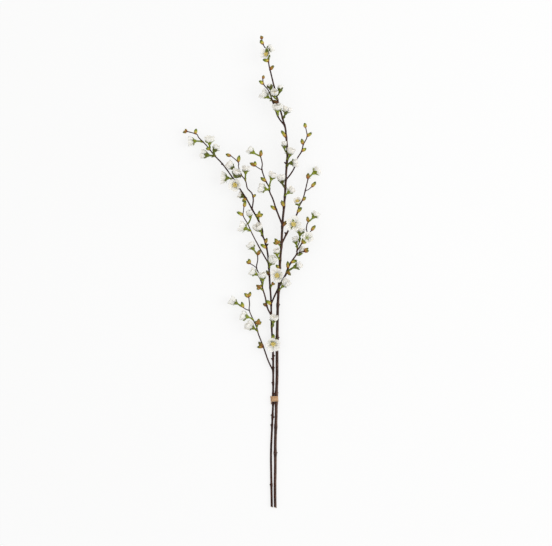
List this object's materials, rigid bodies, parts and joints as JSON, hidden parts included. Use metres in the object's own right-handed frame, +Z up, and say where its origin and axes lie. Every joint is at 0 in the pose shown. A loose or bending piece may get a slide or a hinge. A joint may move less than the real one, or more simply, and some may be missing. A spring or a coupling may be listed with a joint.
{
  "type": "quince blossom branch",
  "caption": "Cut quince branches in white blossom with leaf buds, side by side and tied with raffia, lying on a surface.",
  "frame": {"origin": "on the surface that the branches lie on, under the middle of the raffia tie", "axes": "+Y along the stems towards the blossoming tips, +Z up from the surface, +X across to the right seen from above"},
  "size_m": [0.3138, 1.062, 0.06],
  "materials": {
    "bark": "matte",
    "bud": "satin",
    "calyx": "satin",
    "petal": "matte",
    "stamen": "matte",
    "raffia": "matte"
  },
  "bodies": {
    "root": {"branch_left": "bark", "branch_right": "bark", "raffia_tie": "raffia", "blossom_01": "petal", "blossom_02": "petal", "blossom_03": "petal", "blossom_04": "petal", "blossom_05": "petal", "blossom_06": "petal", "blossom_07": "petal", "blossom_08": "petal", "blossom_09": "petal", "blossom_10": "petal", "blossom_11": "petal", "blossom_12": "petal", "blossom_13": "petal", "blossom_14": "petal", "blossom_15": "petal", "blossom_16": "petal", "blossom_17": "petal", "blossom_18": "petal", "blossom_19": "petal", "blossom_20": "petal", "blossom_21": "petal", "blossom_22": "petal", "blossom_23": "petal", "blossom_24": "petal", "blossom_25": "petal", "blossom_26": "petal", "blossom_27": "petal", "blossom_28": "petal", "blossom_29": "petal", "blossom_30": "petal", "blossom_31": "petal", "blossom_32": "petal", "blossom_33": "petal", "blossom_34": "petal", "blossom_35": "petal", "blossom_36": "petal", "blossom_37": "petal", "blossom_38": "petal", "blossom_39": "petal", "blossom_40": "petal", "blossom_41": "petal", "blossom_42": "petal", "blossom_43": "petal", "blossom_44": "petal", "blossom_45": "petal", "blossom_46": "petal", "blossom_47": "petal", "blossom_48": "petal", "blossom_49": "petal", "stamens_01": "stamen", "blossom_50": "petal", "stamens_15": "stamen", "stamens_32": "stamen", "stamens_35": "stamen", "stamens_39": "stamen", "stamens_49": "stamen"}
  },
  "joints": []
}
